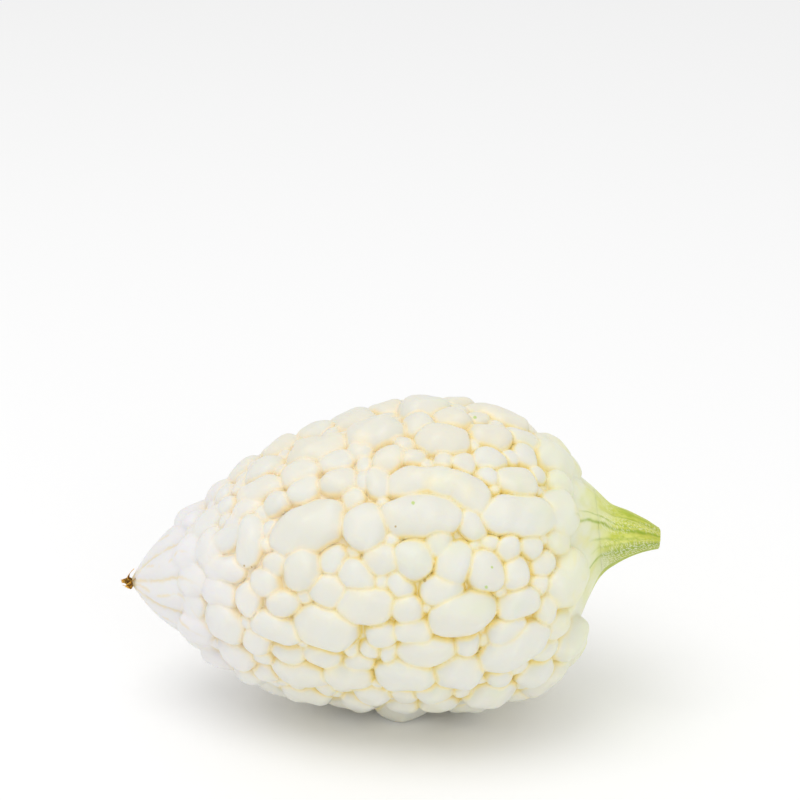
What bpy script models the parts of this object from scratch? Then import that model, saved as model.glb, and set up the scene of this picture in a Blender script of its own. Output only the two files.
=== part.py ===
"""A white bitter melon lying on its side, as picked: the warty fruit, its cut stalk and the dried
flower at its tip.

The skin is one closed surface found by a formula: a smooth floor turned about the fruit's axis,
with nine ribs, and some hundreds of warts standing on it. Lengths are in millimetres and angles in
degrees until a mesh is made. Stations run along the axis from the blossom tip to the cut stalk. An
angle round the axis is 0 on top and grows towards the front, which is -Y.
"""

import math

import bmesh
import bpy
import numpy as np
from mathutils import Matrix, Vector

MM = 0.001

# Driving dimensions
STALK_END = 143.4  # the whole length, from the blossom tip to the cut stalk
SEAM = 127.0  # the station where the white fruit ends and the green stalk begins
SEAM_GAP = 0.3
TIP_RADIUS = 1.3
STALK_CUT_TILT = -8.5
LIFT = 5.0  # how far the stalk end is tipped up as the fruit lies
AXIS_START = (-70.2, 0.5, 37.2)  # the blossom tip in the row frame, sized so that the fruit rests on z = 0

# The floor between the warts, by station: its radius, and how high its middle is
FLOOR = (
    (0, 1.3), (1.5, 3.8), (4, 7.1), (10, 13.0), (16, 16.4), (22, 19.5), (30, 25.0), (40, 30.4),
    (50, 33.7), (60, 36.1), (70, 38.0), (80, 39.0), (90, 38.6), (100, 36.4), (108, 33.0),
    (114, 28.4), (118, 24.2), (121, 19.6), (124, 15.2), (126.4, 12.2), (128, 10.6), (131.5, 7.9),
    (135.5, 6.1), (140.5, 4.0), (144, 2.6), (150, 2.4),
)
AXIS_RISE = (
    (0, 0.0), (4, -0.4), (10, -0.3), (16, -0.5), (22, -1.2), (30, -0.9), (40, 0.0), (60, 0.6), (85, 0.9),
    (100, -0.1), (108, -1.0), (114, -1.1), (118, -0.3), (121, 1.2), (124, 2.8), (126.5, 3.6), (128, 3.5),
    (131.5, 2.6), (135.5, 2.4), (140.5, 1.4), (144, 0.1), (150, -2.0),
)

# Ribs: nine lobes that show as thin grooves at the blossom tip and swell again round the stalk
RIBS = 9
RIB_ANGLE = 45.0  # the angle of the first rib's crest
RIB_STEP = 360.0 / RIBS
RIB_GROOVE_DEPTH = 0.7
RIB_GROOVE_WIDTH = 1.26
RIB_CREST = 0.35  # how far a crest swells at the tip
RIB_MEANDER, RIB_MEANDER_LENGTHS = 2.5, (4.1, 2.3)
RIBS_BEGIN, RIBS_FADE, RIBS_RETURN = (0.5, 5.0), (30.0, 18.0), (112.0, 124.0)  # stations
RETURN_SHARE, RETURN_LEAST = 0.05, 0.1  # how far a crest swells at the stalk, by radius and at least

# Warts
RISE_FLAT, RISE_SHARE, MOST_RISE = 0.2, 0.86, 5.2  # a wart stands this high: flat + share x half width
WART_SQUARENESS = 2.2  # 2 is an ellipsoid, and more is fuller at the shoulders
WART_OVERLAP = 0.3  # how far a wart runs past its size, into its neighbours
WART_SINK = 0.2
FADE_FROM_TIP = (8.0, 24.0)
FADE_TO_STALK = (115.0, 129.0)
LEAST_RISE = 0.35
BLEND, BLEND_AT_ENDS = 0.16, 0.7  # how softly neighbours run together
SOFT_AT_TIP, SOFT_AT_STALK = (30.0, 6.0), (111.0, 125.0)  # where they run together more
WAVES = ((11.0, 0.35, 0.29), (6.8, -0.6, 0.16))  # length, slant and height of the warts' waver

# The front is seen from this angle and distance. Each wart read off it is (station, height above
# the axis, length, width, lean), where a positive lean rises towards the stalk.
FRONT = 65.0
FRONT_DISTANCE, FRONT_MIDDLE = 725.0, 72.0
SEEN_RISE, MOST_ASIDE = 0.7, 0.99  # a wart is seen at this share of its rise, and within the outline
FRONT_WARTS = (
    (23, 7.5, 12, 8, 70), (28.5, 9.8, 14, 6.5, 0), (34.3, 8.8, 14, 8.5, 80), (26.3, 1.3, 14, 7.5, -6),
    (24.8, -5, 11, 8, -5), (25.7, -14, 12.5, 11, -20), (28, -23, 12, 10, -20), (23, 15, 12, 7.5, 25),
    (28.3, 18.5, 7, 6, 0), (26.5, 23.8, 12, 8, 28), (34, 17.7, 10.5, 6.5, 0), (37.5, 22.5, 14.5, 8, -3),
    (30.5, 13.7, 7, 5, 0), (18, 20, 12, 8, 30), (34, 31, 11, 9, 20), (17.5, -1, 10, 7.5, 0),
    (42.5, 18.5, 7.5, 7, 0), (39, 28.5, 12, 8.5, 0), (49, 26.5, 11.5, 9, -5), (50, 21.5, 9.5, 8, 0),
    (32.5, -7.7, 9, 8, 90), (37.3, -3.7, 9, 7.5, 0), (42, -9.5, 9.5, 7.5, 10), (41, 1.8, 8, 6.5, 10),
    (48, -0.6, 11, 11, 0), (39.5, -16.5, 14.5, 8.5, -12), (34, -19.5, 8.5, 8, 90), (42, -23.5, 9.5, 6, 0),
    (53, -18, 17.5, 12.5, -8), (51, -25.3, 11, 7, -12), (45, -30, 16, 10, -3), (57.5, -31.5, 14, 10, 0),
    (61, -27.5, 8.5, 6, 0), (50.5, 11.5, 21.5, 13, 12), (66, 10, 12.5, 12, 80), (81, 12, 21.5, 11.5, -3),
    (81, 21.5, 17, 9, 2), (93.5, 17.5, 15, 10, -40), (107, 9.5, 22, 11, 0), (107, 18.7, 12, 9.5, 0),
    (54, 33, 17.5, 11, -2), (59, 28.7, 10, 7.5, 0), (59.5, 23.3, 10, 8.5, 0), (66, 31, 7, 7, 0),
    (70.3, 22, 10, 7, 85), (66.3, 22.5, 6, 4.5, 80), (73.2, 28.5, 9, 8.7, 0), (80, 28, 6.5, 6, 0),
    (70, 37, 16, 13, -8), (83, 42.5, 14, 13, 0), (88, 33, 14.5, 10.5, 0), (100, 25.8, 9.7, 7, 0),
    (100.5, 32.5, 12, 9.5, 0), (102, 38, 19, 10, -15), (114.2, 29, 9, 8, 90), (70, 0.5, 10.5, 8, -20),
    (78.5, -0.2, 10.5, 10, 90), (85.5, 3.6, 8, 7, 90), (89, -2.5, 12, 9, 55), (103.5, 0.5, 7, 6.7, 0),
    (62.7, -3.5, 9.5, 8.7, -20), (54.7, -7, 10, 8.7, 25), (84.8, -9.5, 11.3, 8, -5), (97, -5.5, 11, 10, 90),
    (105, -7, 8.5, 8, 30), (64, -12.2, 16, 10.5, -3), (75.4, -14.2, 8.7, 8, 0), (90, -17.3, 17.5, 12, 8),
    (105, -14.8, 12.5, 8.5, 0), (112, -16.5, 9, 7, 80), (68, -20.5, 8.7, 7.5, 0), (76.7, -20.3, 10.5, 7.5, 0),
    (101.2, -22.3, 10.5, 8.5, 0), (90.7, -25, 7, 7, 0), (79.7, -26.5, 15.5, 9.5, 3),
    (102.5, -28, 20.5, 12, 18), (73.5, -33, 16.5, 12, 0), (87.7, -33.5, 13.5, 13, 0),
    (94.5, -40, 14.5, 12, 15), (109, -37, 16, 12, 32),
    (116.6, -27.5, 12, 10.5, 60), (71, -40.5, 10, 9, 0), (116.5, 1.5, 8.5, 7, 0), (118, 17.5, 9, 7.5, 0),
    (119.5, -6, 11, 11, 20), (117.6, 12, 10, 8.5, 0), (120, 24, 10, 9, 90), (109.4, 0.7, 6.5, 6.5, 0),
    (112.4, -4.2, 7, 6, 0), (111, -9.7, 6.5, 5.5, 0), (46, -38, 15, 11, 0), (87.5, 20.5, 14, 9.5, -18),
)

# The far side: rows of long warts on the ribs that the front doesn't show
BACK_RIDGES = (162.0, 198.0, 240.0, 282.0, 320.0)
RIDGE_FROM, RIDGE_TO = 24.0, 112.0
RIDGE_WART_LENGTH = (10.0, 21.0)
RIDGE_WART_WIDTH = (9.0, 12.5)
RIDGE_STRAY = 3.5
RIDGE_LEAN = 22.0
COLLAR_STATION, COLLAR_LENGTH, COLLAR_WIDTH = 115.5, 13.0, 11.5

# Three warts underneath carry the weight: station, angle, length, width, lean. They are long enough to
# be cut flat by the ground, this far below it.
RESTING_WARTS = ((70, 168, 17, 14, 0), (57, 192, 16, 14, 0), (90, 178, 17, 14, 0))
RESTING_CUT = 0.7

# Small warts fill what the long ones leave, the largest first
FILL_SIZES = (4.6, 3.6, 2.9, 2.3, 1.9, 1.6)
FILL_TRIES = (2000, 2000, 3000, 5000, 12000, 20000)
FILL_MOST = 5.0
FILL_OVERLAP = 0.95
FILL_FROM, FILL_TO = 17.0, 117.0
FILL_STRETCH = 1.3
SEED = 7

# The dried flower: a crumpled bit with points, each (share towards the front, share up, length)
FLOWER_RADIUS = 1.1
FLOWER_GAP = 0.3
FLOWER_CENTRE = 0.7  # how far past the gap its middle is
FLOWER_POINTS = (
    (0.1, 0.9, 0.8), (0.8, 0.5, 0.6), (-0.7, 0.6, 0.7), (0.9, -0.5, 0.75), (-0.1, -1.0, 0.65),
    (-0.9, -0.3, 0.6), (0.2, 0.1, 0.9), (-0.2, -0.5, 0.7), (0.4, 0.6, 0.7),
)
FLOWER_POINT_SPREAD = 0.05

# The mesh
CUBE_CUTS = 89
FRUIT_TRIANGLES = 11900
STALK_TRIANGLES = 1500
STALK_MARGIN = 5.0
LEAST_ROUND = 13.0  # the faces at the thin ends are as small as on a fruit of this radius
NEAR = 4.0  # how far past its own size a wart is felt
MARCH_FROM, MARCH_TO = 9.0, -2.0
MARCH_STEPS, MARCH_SHARE = 26, 0.85


def smooth_through(points):
    """A function through (x, y) points with a continuous slope."""
    xs, ys = np.array(points, float).T
    slopes = np.gradient(ys, xs)

    def value(x):
        left = np.clip(np.searchsorted(xs, x, side="right") - 1, 0, len(xs) - 2)
        span = xs[left + 1] - xs[left]
        t = np.clip((x - xs[left]) / span, 0, 1)
        start = (1 + 2 * t) * (1 - t) ** 2 * ys[left] + t * (1 - t) ** 2 * span * slopes[left]
        end = t * t * (3 - 2 * t) * ys[left + 1] + t * t * (t - 1) * span * slopes[left + 1]
        return start + end

    return value


floor_radius = smooth_through(FLOOR)
axis_rise = smooth_through(AXIS_RISE)


def slope_of(curve, x, step=0.1):
    return (curve(x + step) - curve(x - step)) / (2 * step)


def eased(x, start, end):
    """0 before start, 1 after end, and a smooth step between."""
    t = np.clip((x - start) / (end - start), 0, 1)
    return t * t * (3 - 2 * t)


def rib_relief(station, angle):
    """What the ribs add to the floor's radius."""
    long, short = RIB_MEANDER_LENGTHS
    wander = RIB_MEANDER * (np.sin(station / long) + np.sin(station / short + angle))
    phase = (np.degrees(angle) - RIB_ANGLE + wander) / RIB_STEP
    to_groove = np.abs(phase - np.floor(phase) - 0.5) * 2  # 0 on a groove line, 1 on a crest
    width = RIB_GROOVE_WIDTH / np.maximum(floor_radius(station) * math.pi / RIBS, RIB_GROOVE_WIDTH)
    groove = np.exp(-((to_groove / width) ** 2))
    crest = np.cos(phase * 2 * math.pi)
    at_tip = eased(station, *RIBS_BEGIN) * eased(station, *RIBS_FADE)
    at_stalk = eased(station, *RIBS_RETURN) * (RETURN_SHARE * floor_radius(station) + RETURN_LEAST)
    return at_tip * (RIB_CREST * crest - RIB_GROOVE_DEPTH * groove) + at_stalk * crest


def floor_distance(points):
    """The signed distance from the smooth floor, near it."""
    station = points[:, 0]
    height = points[:, 2] - axis_rise(station)
    across = np.hypot(points[:, 1], height)
    angle = np.arctan2(-points[:, 1], height)
    side = across - floor_radius(station) - rib_relief(station, angle)
    side /= np.sqrt(1 + slope_of(floor_radius, station) ** 2)
    return np.where(station < 0, np.hypot(across, station) - TIP_RADIUS, side)


def floor_frames(station, angle):
    """Points on the floor, and the directions along it, up round it and out of it, as rows."""
    a = np.radians(angle)
    radius, slope = floor_radius(station), slope_of(floor_radius, station)
    point = np.stack([station, -radius * np.sin(a), axis_rise(station) + radius * np.cos(a)], -1)
    along = np.stack([np.ones_like(a), -slope * np.sin(a), slope * np.cos(a)], -1)
    along /= np.linalg.norm(along, axis=-1, keepdims=True)
    up = np.stack([np.zeros_like(a), np.cos(a), np.sin(a)], -1)
    return point, along, up, np.cross(along, up)


def wart(station, angle, length, width, lean):
    """A wart as its centre, its three directions as rows, and its three half sizes."""
    point, along, up, out = floor_frames(np.float64(station), np.float64(angle))
    turn = math.radians(lean)
    long_way = math.cos(turn) * along + math.sin(turn) * up
    fade = min(eased(station, *FADE_FROM_TIP), 1 - eased(station, *FADE_TO_STALK))
    rise = min(RISE_FLAT + RISE_SHARE * width / 2, MOST_RISE) * (LEAST_RISE + (1 - LEAST_RISE) * fade)
    axes = np.stack([long_way, np.cross(out, long_way), out])
    halves = np.array([length / 2 + WART_OVERLAP, width / 2 + WART_OVERLAP, rise + WART_SINK])
    return point - WART_SINK * out, axes, halves


def resting_warts():
    """The three warts that reach the ground."""
    lift = math.radians(LIFT)
    for row in RESTING_WARTS:
        centre, axes, halves = wart(*row)
        above = AXIS_START[2] + centre[0] * math.sin(lift) + centre[2] * math.cos(lift)
        yield centre, axes, np.array([halves[0], halves[1], above + RESTING_CUT])


def front_warts():
    for station, height, length, width, lean in FRONT_WARTS:
        top = floor_radius(station) + SEEN_RISE * (RISE_FLAT + RISE_SHARE * width / 2)
        nearer = 1 - math.sqrt(max(top**2 - height**2, 0)) / FRONT_DISTANCE
        above = height * nearer - axis_rise(station) * math.sin(math.radians(FRONT))
        round_by = math.degrees(math.asin(max(-MOST_ASIDE, min(MOST_ASIDE, above / top))))
        yield wart(FRONT_MIDDLE + (station - FRONT_MIDDLE) * nearer, FRONT - round_by, length, width, lean)


def ridge_warts(rng):
    """Long warts end to end along the far ribs, and a soft collar of lobes round the stalk."""
    for ridge in BACK_RIDGES:
        station = RIDGE_FROM + rng.uniform(0, 5)
        while station < RIDGE_TO:
            length = rng.uniform(*RIDGE_WART_LENGTH)
            centre = station + length / 2
            if centre < RIDGE_TO:
                stray, lean = rng.normal(0, RIDGE_STRAY), rng.normal(0, RIDGE_LEAN / 2)
                yield wart(centre, ridge + stray, length, rng.uniform(*RIDGE_WART_WIDTH), lean)
            station += length
    for rib in range(RIBS):
        yield wart(COLLAR_STATION, RIB_ANGLE + rib * RIB_STEP, COLLAR_LENGTH, COLLAR_WIDTH, 0)


def room_at(point, centres, axes, halves):
    """How far a point of the floor is outside the nearest wart's outline."""
    apart = point - centres
    reach = np.linalg.norm(np.einsum("nij,nj->ni", axes, apart) / halves, axis=1)
    return (np.linalg.norm(apart, axis=1) * (1 - 1 / np.maximum(reach, 0.01))).min()


def all_warts():
    """Every wart: those on the front, the far ridges and collar, and the small ones in between."""
    rng = np.random.default_rng(SEED)
    warts = [*front_warts(), *resting_warts(), *ridge_warts(rng)]
    columns = [np.array(column) for column in zip(*warts)]
    stations = np.linspace(FILL_FROM, FILL_TO, 200)
    share = np.cumsum(floor_radius(stations))
    share = (share - share[0]) / (share[-1] - share[0])
    for size, tries in zip(FILL_SIZES, FILL_TRIES):
        draws = rng.random((tries, 4))
        station, angle = np.interp(draws[:, 0], share, stations), 360 * draws[:, 1]
        lean, stretch = 180 * draws[:, 2] - 90, 1 + (FILL_STRETCH - 1) * draws[:, 3]
        points = floor_frames(station, angle)[0]
        for point, *place, turn, longer in zip(points, station, angle, lean, stretch):
            half = room_at(point, *columns) + FILL_OVERLAP
            if half > size:
                half = min(half, FILL_MOST)
                warts.append(wart(*place, 2 * half * longer, 2 * half, turn))
                columns = [np.array(column) for column in zip(*warts)]
    return columns


def wavered(points):
    """The points moved by a smooth waver, which takes the warts out of true."""
    moved = points.copy()
    for axis, (a, b) in enumerate(((1, 2), (2, 0), (0, 1))):
        for turn, (length, slant, height) in enumerate(WAVES, 1):
            along = points[..., a] + slant * points[..., b]
            moved[..., axis] += height * np.sin(2 * math.pi * along / length + turn * axis)
            a, b = b, a
    return moved


def blend_at(station):
    ends = np.maximum(eased(station, *SOFT_AT_TIP), eased(station, *SOFT_AT_STALK))
    return BLEND + (BLEND_AT_ENDS - BLEND) * ends


def wart_share(moved, blend, centre, axes, halves):
    """What one wart adds to the sum whose logarithm is the distance."""
    place = np.abs((moved - centre) @ axes.T / halves)
    power = place ** (WART_SQUARENESS - 1)
    level = np.maximum((power * place).sum(-1), 1e-6) ** (1 / WART_SQUARENESS)
    steep = np.linalg.norm(power / halves, axis=-1) * level ** (1 - WART_SQUARENESS)
    return np.exp(np.minimum(-(level - 1) / steep / blend, 60))


def skin_distance(points, warts, near):
    """The signed distance from the skin: the floor and its warts run together."""
    blend, moved = blend_at(points[:, 0]), wavered(points)
    total = np.exp(-floor_distance(points) / blend)
    for nearby, *one in zip(near, *warts):
        total[nearby] += wart_share(moved[nearby], blend[nearby], *one)
    return -blend * np.log(total)


def cast_on_skin(points, outwards, warts):
    """The outermost place of the skin on the ray out of each floor point."""
    centres, _, halves = warts
    near = [
        np.nonzero(((points - centre) ** 2).sum(1) < (max(half) + NEAR) ** 2)[0]
        for centre, half in zip(centres, halves)
    ]
    far = np.full(len(points), MARCH_FROM)
    for _ in range(MARCH_STEPS):
        far -= MARCH_SHARE * skin_distance(points + far[:, None] * outwards, warts, near)
        far = np.maximum(far, MARCH_TO)
    return points + far[:, None] * outwards


def station_table():
    """Stations against the share of a ball's surface that each takes, so that faces stay even."""
    stations = np.linspace(0, FLOOR[-1][0], 1200)
    round_by = np.maximum(floor_radius(stations), LEAST_ROUND)
    weight = round_by * np.sqrt(1 + slope_of(floor_radius, stations) ** 2)
    share = np.cumsum(weight)
    return (share - share[0]) / (share[-1] - share[0]), stations


def ball_of_squares():
    """A cube with a grid on each side, whose points are spread evenly over directions."""
    bm = bmesh.new()
    bmesh.ops.create_cube(bm, size=2)
    bmesh.ops.subdivide_edges(bm, edges=bm.edges[:], cuts=CUBE_CUTS, use_grid_fill=True)
    places = np.array([v.co for v in bm.verts])
    places = np.tan(places * math.pi / 4)
    return bm, places / np.linalg.norm(places, axis=1, keepdims=True)


def to_row_frame():
    """The matrix from the fruit's axis, in millimetres, to where it lies, in metres."""
    place = Matrix.Translation(Vector(AXIS_START) * MM)
    return place @ Matrix.Rotation(math.radians(-LIFT), 4, "Y") @ Matrix.Scale(MM, 4)


def thinned(bm, triangles):
    """The same surface with about that many triangles, more of them where it bends."""
    bmesh.ops.triangulate(bm, faces=bm.faces[:])
    mesh = bpy.data.meshes.new("skin")
    share = triangles / len(bm.faces)
    bm.to_mesh(mesh)
    bm.free()
    helper = bpy.data.objects.new("skin", mesh)
    bpy.context.scene.collection.objects.link(helper)
    helper.modifiers.new("thin", "DECIMATE").ratio = share
    evaluated = helper.evaluated_get(bpy.context.evaluated_depsgraph_get())
    thin = bmesh.new()
    thin.from_mesh(evaluated.to_mesh())
    bpy.data.objects.remove(helper)
    bpy.data.meshes.remove(mesh)
    return thin


def skin_surface():
    """The whole skin, fruit and stalk in one, in the axis frame, with a very fine mesh."""
    bm, ways = ball_of_squares()
    share, stations = station_table()
    station = np.interp((1 + ways[:, 0]) / 2, share, stations)
    angle = np.degrees(np.arctan2(-ways[:, 1], ways[:, 2]))
    point, _, _, out = floor_frames(station, angle)
    at_pole = np.abs(ways[:, 0]) > 1 - 1e-9
    ends = np.where(ways[:, 0, None] > 0, [[FLOOR[-1][0], 0, axis_rise(FLOOR[-1][0])]], [[-TIP_RADIUS, 0, 0]])
    skin = np.where(at_pole[:, None], ends, cast_on_skin(point, out, all_warts()))
    for vertex, place in zip(bm.verts, skin):
        vertex.co = place
    bmesh.ops.recalc_face_normals(bm, faces=bm.faces[:])
    return bm


def flower_surface():
    """A crumpled ball with short points, flat where it meets the tip."""
    bm = bmesh.new()
    bmesh.ops.create_icosphere(bm, subdivisions=3, radius=1)
    points = [Vector((-1, -front, up)).normalized() for front, up, _ in FLOWER_POINTS]
    lengths = [length for _, _, length in FLOWER_POINTS]
    for vertex in bm.verts:
        way = vertex.co.normalized()
        point_reach = max(
            length * math.exp((way.dot(point) - 1) / FLOWER_POINT_SPREAD)
            for point, length in zip(points, lengths)
        )
        vertex.co = way * (FLOWER_RADIUS + point_reach)
        vertex.co.x -= FLOWER_GAP + FLOWER_CENTRE
    cut_flat(bm, (-FLOWER_GAP, 0, 0), (1, 0, 0))
    return bm


def cut_flat(bm, point, normal):
    """Takes away what lies beyond a plane and closes the cut with a flat face."""
    everything = bm.verts[:] + bm.edges[:] + bm.faces[:]
    bmesh.ops.bisect_plane(bm, geom=everything, plane_co=point, plane_no=normal, clear_outer=True, dist=1e-9)
    open_edges = [edge for edge in bm.edges if edge.is_boundary]
    bmesh.ops.holes_fill(bm, edges=open_edges, sides=0)


def material(name, colour, roughness):
    made = bpy.data.materials.new(name)
    made.use_nodes = True
    shader = made.node_tree.nodes["Principled BSDF"]
    shader.inputs["Base Color"].default_value = (*colour, 1)
    shader.inputs["Roughness"].default_value = roughness
    shader.inputs["Metallic"].default_value = 0
    return made


def node(name, bm, finish):
    mesh = bpy.data.meshes.new(name)
    bm.to_mesh(mesh)
    bm.free()
    mesh.materials.append(finish)
    made = bpy.data.objects.new(name, mesh)
    bpy.context.scene.collection.objects.link(made)
    return made


def main():
    for old in list(bpy.data.objects):
        bpy.data.objects.remove(old)
    skin = skin_surface()
    stalk = skin.copy()
    cut_flat(stalk, (SEAM - STALK_MARGIN, 0, 0), (-1, 0, 0))
    stalk = thinned(stalk, STALK_TRIANGLES)
    cut_flat(stalk, (SEAM + SEAM_GAP / 2, 0, 0), (-1, 0, 0))
    fruit = thinned(skin, FRUIT_TRIANGLES)
    cut_flat(fruit, (SEAM - SEAM_GAP / 2, 0, 0), (1, 0, 0))
    cut_flat(fruit, (0, 0, 0), (-1, 0, 0))
    flower = flower_surface()
    tilt = math.radians(STALK_CUT_TILT)
    cut_flat(stalk, (STALK_END, 0, 0), (math.cos(tilt), 0, math.sin(tilt)))
    for bm in (fruit, stalk, flower):
        bmesh.ops.transform(bm, matrix=to_row_frame(), verts=bm.verts[:])
    cut_flat(fruit, (0, 0, 0), (0, 0, -1))
    node("fruit", fruit, material("white_skin", (0.83, 0.81, 0.72), 0.42))
    node("stalk", stalk, material("green_stalk", (0.45, 0.52, 0.13), 0.5))
    node("dried_flower", flower, material("brown_dried_flower", (0.13, 0.07, 0.02), 0.8))


main()
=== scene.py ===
"""The looks of the white bitter melon: its warty skin, ribbed stalk and dried flower, in soft light.

Lengths are in millimetres along the fruit's own axis until a mesh is put in place. Stations run
along the axis from the blossom tip to the cut stalk. An angle round the axis is 0 on top and grows
towards the front, which is -Y. The skin is the same formula that the solids are made by.
"""

import math

import bmesh
import bpy
import numpy as np
from mathutils import Matrix, Vector


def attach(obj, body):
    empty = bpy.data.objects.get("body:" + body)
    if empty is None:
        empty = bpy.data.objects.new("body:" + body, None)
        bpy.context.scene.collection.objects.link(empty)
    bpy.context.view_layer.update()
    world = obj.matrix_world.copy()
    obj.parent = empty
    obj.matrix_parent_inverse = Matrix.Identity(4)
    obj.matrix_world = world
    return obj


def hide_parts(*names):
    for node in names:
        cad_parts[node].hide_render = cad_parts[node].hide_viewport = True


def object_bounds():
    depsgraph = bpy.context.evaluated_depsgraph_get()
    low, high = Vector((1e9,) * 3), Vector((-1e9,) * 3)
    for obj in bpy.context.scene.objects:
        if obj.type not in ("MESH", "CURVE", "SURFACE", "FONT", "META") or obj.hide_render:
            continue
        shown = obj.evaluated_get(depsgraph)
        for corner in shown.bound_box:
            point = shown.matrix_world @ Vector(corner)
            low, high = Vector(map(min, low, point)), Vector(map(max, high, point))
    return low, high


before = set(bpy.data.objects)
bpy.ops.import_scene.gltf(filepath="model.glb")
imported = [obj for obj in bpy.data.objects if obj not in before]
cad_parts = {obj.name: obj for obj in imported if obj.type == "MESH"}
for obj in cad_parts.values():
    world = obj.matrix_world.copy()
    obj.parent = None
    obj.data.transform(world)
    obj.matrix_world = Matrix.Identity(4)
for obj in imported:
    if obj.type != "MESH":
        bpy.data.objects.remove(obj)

solid_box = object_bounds()
MM = 0.001

# How long the fruit is, and how it lies
STALK_END = 143.4
SEAM = 127.0
TIP_RADIUS = 1.3
STALK_CUT_TILT = -8.5
LIFT = 5.0
AXIS_START = (-70.2, 0.5, 37.2)

# The floor between the warts: its radius and the height of its middle, by station
FLOOR = (
    (0, 1.3), (1.5, 3.8), (4, 7.1), (10, 13.0), (16, 16.4), (22, 19.5), (30, 25.0), (40, 30.4),
    (50, 33.7), (60, 36.1), (70, 38.0), (80, 39.0), (90, 38.6), (100, 36.4), (108, 33.0),
    (114, 28.4), (118, 24.2), (121, 19.6), (124, 15.2), (126.4, 12.2), (128, 10.6), (131.5, 7.9),
    (135.5, 6.1), (140.5, 4.0), (144, 2.6), (150, 2.4),
)
AXIS_RISE = (
    (0, 0.0), (4, -0.4), (10, -0.3), (16, -0.5), (22, -1.2), (30, -0.9), (40, 0.0), (60, 0.6),
    (85, 0.9), (100, -0.1), (108, -1.0), (114, -1.1), (118, -0.3), (121, 1.2), (124, 2.8),
    (126.5, 3.6), (128, 3.5), (131.5, 2.6), (135.5, 2.4), (140.5, 1.4), (144, 0.1), (150, -2.0),
)

# Ribs at both ends
RIBS = 9
RIB_ANGLE = 45.0
RIB_STEP = 360.0 / RIBS
RIB_GROOVE_DEPTH = 0.7
RIB_GROOVE_WIDTH = 1.26
RIB_CREST = 0.35
RIB_MEANDER, RIB_MEANDER_LENGTHS = 2.5, (4.1, 2.3)
RIBS_BEGIN, RIBS_FADE, RIBS_RETURN = (0.5, 5.0), (30.0, 18.0), (112.0, 124.0)
RETURN_SHARE, RETURN_LEAST = 0.05, 0.1

# Warts
RISE_FLAT, RISE_SHARE, MOST_RISE = 0.2, 0.86, 5.2
WART_SQUARENESS = 2.2
WART_OVERLAP = 0.3
WART_SINK = 0.2
FADE_FROM_TIP = (8.0, 24.0)
FADE_TO_STALK = (115.0, 129.0)
LEAST_RISE = 0.35
BLEND, BLEND_AT_ENDS = 0.16, 0.7
SOFT_AT_TIP, SOFT_AT_STALK = (30.0, 6.0), (111.0, 125.0)

# The waver that takes the warts out of true: length, slant and height of each wave
WAVES = ((11.0, 0.35, 0.29), (6.8, -0.6, 0.16))

# The front: the angle that it faces, and how far off and opposite which station it is seen from
FRONT = 65.0
FRONT_DISTANCE, FRONT_MIDDLE = 725.0, 72.0
SEEN_RISE, MOST_ASIDE = 0.7, 0.99

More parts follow.
